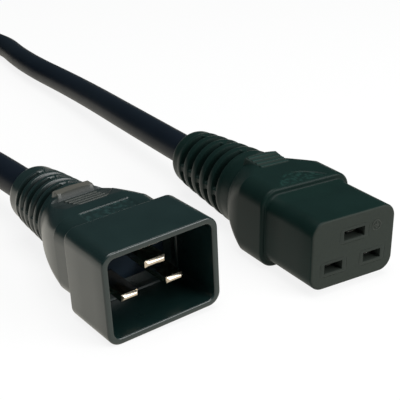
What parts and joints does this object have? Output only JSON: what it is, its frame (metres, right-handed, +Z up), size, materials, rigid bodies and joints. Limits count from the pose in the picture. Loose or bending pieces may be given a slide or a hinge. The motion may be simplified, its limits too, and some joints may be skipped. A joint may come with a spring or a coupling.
{
  "type": "power cord",
  "caption": "Heavy black power cord: a shrouded flat-blade plug and a matching appliance connector, slotted strain reliefs, round cable coiled for storage.",
  "frame": {"origin": "middle of the flat underside of the connector's rear block, on the surface it lies on", "axes": "+X out of the connector's mating face, +Z up, +Y to the right when facing the connector"},
  "size_m": [0.3363, 0.1601, 0.0261],
  "materials": {
    "housing_pvc": "soft moulded vinyl, fine even grain, slight sheen",
    "insert_nylon": "hard moulded nylon, dull",
    "carrier_nylon": "hard moulded nylon, dull",
    "inner_mould_pe": "natural polyethylene, milky",
    "cable_jacket": "extruded vinyl jacket, satin",
    "core_line": "extruded vinyl, black",
    "core_neutral": "extruded vinyl, white",
    "core_earth": "extruded vinyl, green",
    "contact_tin": "tin-plated brass sheet",
    "blade_nickel": "nickel-plated solid brass, drawn along its length",
    "copper_strand": "bare stranded copper"
  },
  "bodies": {
    "root": {"connector_housing": "housing_pvc", "connector_insert": "insert_nylon", "connector_inner_mould": "inner_mould_pe", "plug_housing": "housing_pvc", "plug_carrier": "carrier_nylon", "plug_inner_mould": "inner_mould_pe", "connector_lead": "cable_jacket", "cord_coil": "cable_jacket", "plug_lead": "cable_jacket", "connector_contact_line": "contact_tin", "plug_blade_line": "blade_nickel", "connector_core_line": "core_line", "plug_core_line": "core_line", "connector_wire_line": "copper_strand", "plug_wire_line": "copper_strand", "connector_contact_neutral": "contact_tin", "plug_blade_neutral": "blade_nickel", "connector_core_neutral": "core_neutral", "plug_core_neutral": "core_neutral", "connector_wire_neutral": "copper_strand", "plug_wire_neutral": "copper_strand", "connector_contact_earth": "contact_tin", "plug_blade_earth": "blade_nickel", "connector_core_earth": "core_earth", "plug_core_earth": "core_earth", "connector_wire_earth": "copper_strand", "plug_wire_earth": "copper_strand"}
  },
  "joints": []
}
